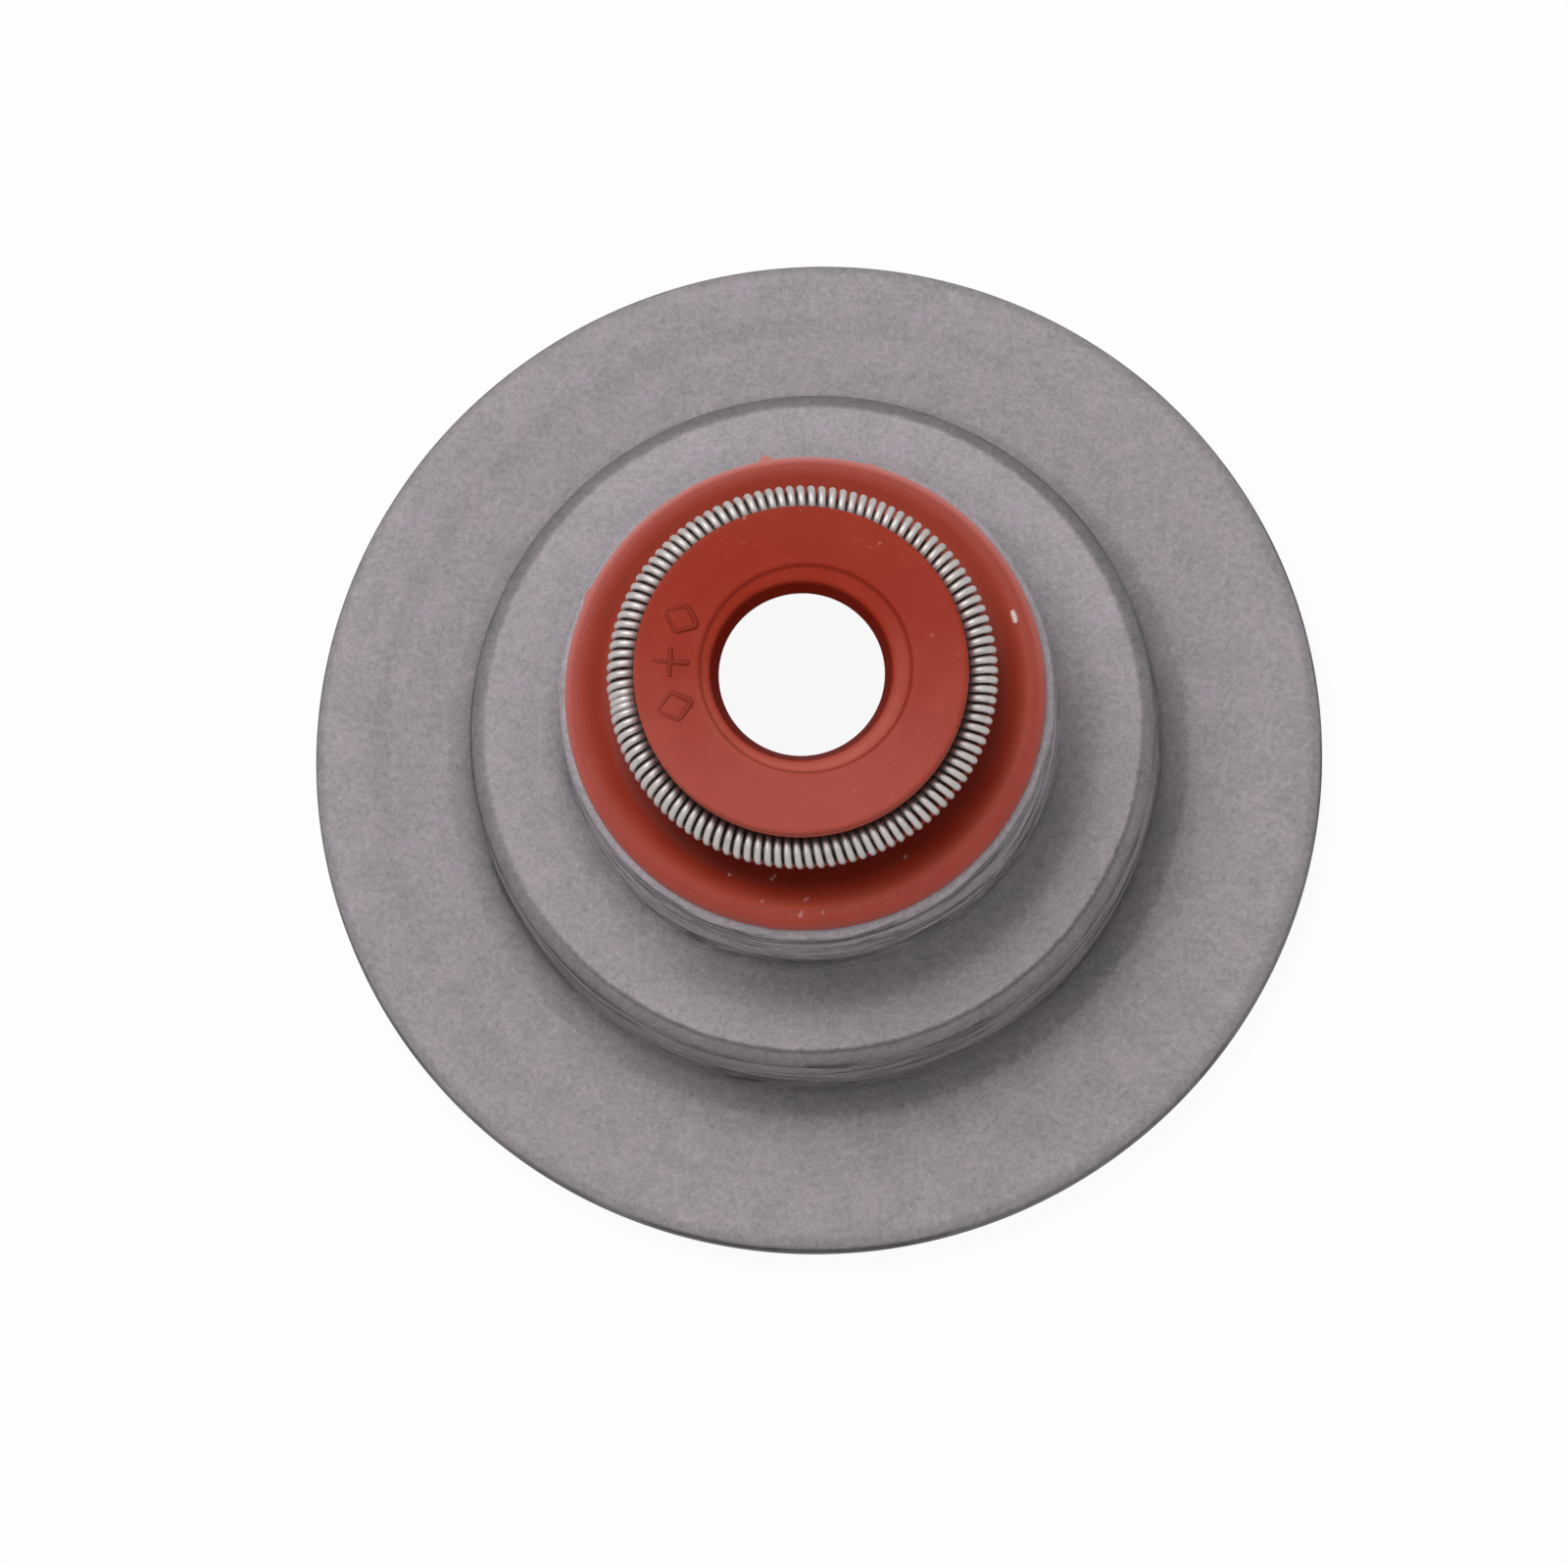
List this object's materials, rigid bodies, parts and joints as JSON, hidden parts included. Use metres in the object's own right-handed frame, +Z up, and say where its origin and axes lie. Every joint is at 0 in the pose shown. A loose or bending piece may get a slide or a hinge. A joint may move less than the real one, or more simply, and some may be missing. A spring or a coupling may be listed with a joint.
{
  "type": "valve stem seal",
  "caption": "Valve stem seal with a stepped steel spring-seat flange, a red rubber lip round the stem bore, and a steel garter spring in the lip's groove.",
  "frame": {"origin": "centre of the flange's underside, on the valve stem's axis", "axes": "+Z up the valve stem, from the cylinder head towards the lip; the raised marks on the lip's face are on the -X side"},
  "size_m": [0.034, 0.034, 0.0147],
  "materials": {
    "shell_steel": "matt tumbled grey steel with fine speckle and draw marks",
    "seal_rubber": "satin rust-red moulded rubber",
    "spring_steel": "bright drawn wire"
  },
  "bodies": {
    "root": {"steel_shell": "shell_steel", "rubber_seal": "seal_rubber", "garter_spring": "spring_steel"}
  },
  "joints": []
}
